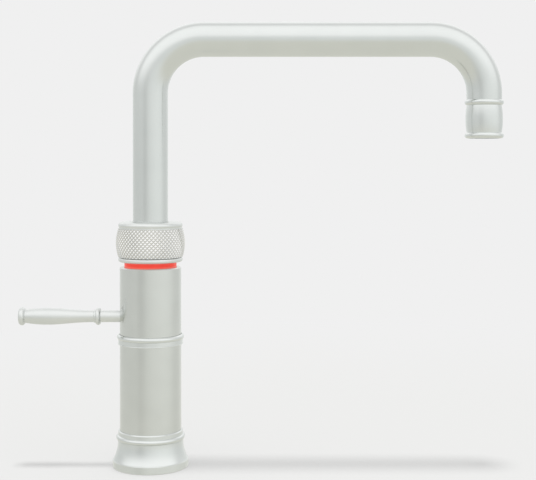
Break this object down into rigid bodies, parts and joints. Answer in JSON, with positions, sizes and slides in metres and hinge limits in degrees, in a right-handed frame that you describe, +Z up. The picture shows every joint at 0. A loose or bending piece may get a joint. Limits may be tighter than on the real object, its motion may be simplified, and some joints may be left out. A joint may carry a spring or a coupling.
{
  "type": "boiling water kitchen tap",
  "caption": "Deck-mounted kitchen tap with a swivelling square-cornered spout, a side lever for mixed water and a knurled push-and-turn knob for boiling water.",
  "frame": {"origin": "centre of the threaded hole for the fixing shank, on the underside of the base, where it meets the worktop", "axes": "+Z up along the column axis, +X towards the outlet with the spout at rest, +Y towards the back as the picture sees it; the mixer lever points along -X"},
  "size_m": [0.3881, 0.0602, 0.355],
  "materials": {
    "satin_metal": "satin nickel-coloured stainless steel",
    "knurled_metal": "knurled satin stainless steel",
    "brass_body": "machined brass",
    "riser_copper": "drawn copper tube",
    "steel_hardware": "plain stainless steel",
    "black_rubber": "black sealing rubber",
    "white_plastic": "white acetal",
    "grey_plastic": "dark grey moulded plastic",
    "ceramic": "polished white ceramic",
    "tube_plastic": "natural heat-proof tube",
    "red_lens": "translucent red plastic, lit from below",
    "circuit_board": "green circuit board",
    "lamp": "small white lamp bodies",
    "screen_steel": "perforated stainless steel"
  },
  "bodies": {
    "column": {"base_flange": "satin_metal", "base_gasket": "black_rubber", "inlet_manifold": "brass_body", "tie_bolts": "steel_hardware", "cold_riser": "riser_copper", "hot_riser": "riser_copper", "boiling_riser": "riser_copper", "riser_seals": "black_rubber", "core_body": "brass_body", "gallery_plugs": "brass_body", "gallery_seals": "black_rubber", "lower_sleeve": "satin_metal", "mid_ring": "satin_metal", "sleeve_glide_ring": "white_plastic", "cartridge_housing": "white_plastic", "cartridge_seals": "black_rubber", "ceramic_seat_disc": "ceramic", "cartridge_nut": "brass_body", "valve_body": "brass_body", "valve_screws": "steel_hardware", "glide_band": "white_plastic", "neck_clips": "steel_hardware", "led_board": "circuit_board", "leds": "lamp", "light_ring": "red_lens", "knob_spring": "steel_hardware"},
    "mixer": {"upper_sleeve": "satin_metal", "cartridge_rotor": "white_plastic", "spindle_pin": "steel_hardware"},
    "mixer_disc": {"ceramic_slide_disc": "ceramic", "disc_carrier": "grey_plastic"},
    "lever": {"lever_spindle": "steel_hardware", "lever_grub_screw": "steel_hardware", "dust_shield": "grey_plastic", "lever_stem": "satin_metal", "lever_collar": "satin_metal", "lever_stud": "steel_hardware", "lever_grip": "satin_metal"},
    "boiling_valve": {"valve_sleeve": "brass_body", "valve_seals": "black_rubber"},
    "slider": {"knob_slider": "grey_plastic", "slider_clip": "steel_hardware"},
    "knob": {"knob_carrier": "brass_body", "knob_bottom_ring": "satin_metal", "knurled_grip": "knurled_metal", "knob_top_ring": "satin_metal"},
    "spout": {"spout_root": "brass_body", "spout_seals": "black_rubber", "spout_clip": "steel_hardware", "spout_washer": "white_plastic", "spout_tube": "satin_metal", "boiling_tube": "tube_plastic", "tube_spacers": "white_plastic", "outlet_adaptor": "brass_body", "outlet_barrel": "satin_metal", "aerator_housing": "grey_plastic", "aerator_screen": "screen_steel", "boiling_nozzle": "steel_hardware"}
  },
  "joints": [
    {"name": "spout_swivel", "type": "hinge", "parent": "column", "child": "spout", "pos_m": [0, 0, 0.168], "axis": [0, 0, 1], "continuous": true},
    {"name": "mixer_turn", "type": "hinge", "parent": "column", "child": "mixer", "pos_m": [0, 0, 0.1194], "axis": [0, 0, 1], "range_deg": [-45, 45]},
    {"name": "lever_lift", "type": "hinge", "parent": "mixer", "child": "lever", "pos_m": [0, 0, 0.1194], "axis": [0, 1, 0], "range_deg": [0, 25]},
    {"name": "disc_slide", "type": "slide", "parent": "mixer", "child": "mixer_disc", "axis": [1, 0, 0], "range_m": [-0.0051, 0]},
    {"name": "knob_push", "type": "slide", "parent": "column", "child": "slider", "axis": [0, 0, -1], "range_m": [0, 0.0025], "stiffness_N_per_m": 2000, "springref_m": -0.004, "deforming": ["knob_spring"]},
    {"name": "knob_turn", "type": "hinge", "parent": "slider", "child": "knob", "pos_m": [0, 0, 0.178], "axis": [0, 0, 1], "range_deg": [0, 90]},
    {"name": "valve_turn", "type": "hinge", "parent": "column", "child": "boiling_valve", "pos_m": [0, 0, 0.15], "axis": [0, 0, 1], "range_deg": [0, 90]}
  ],
  "couplings": [
    {"joint": "disc_slide", "follows": "lever_lift", "m_per_rad": -0.0114},
    {"joint": "valve_turn", "follows": "knob_turn", "ratio": 1}
  ]
}
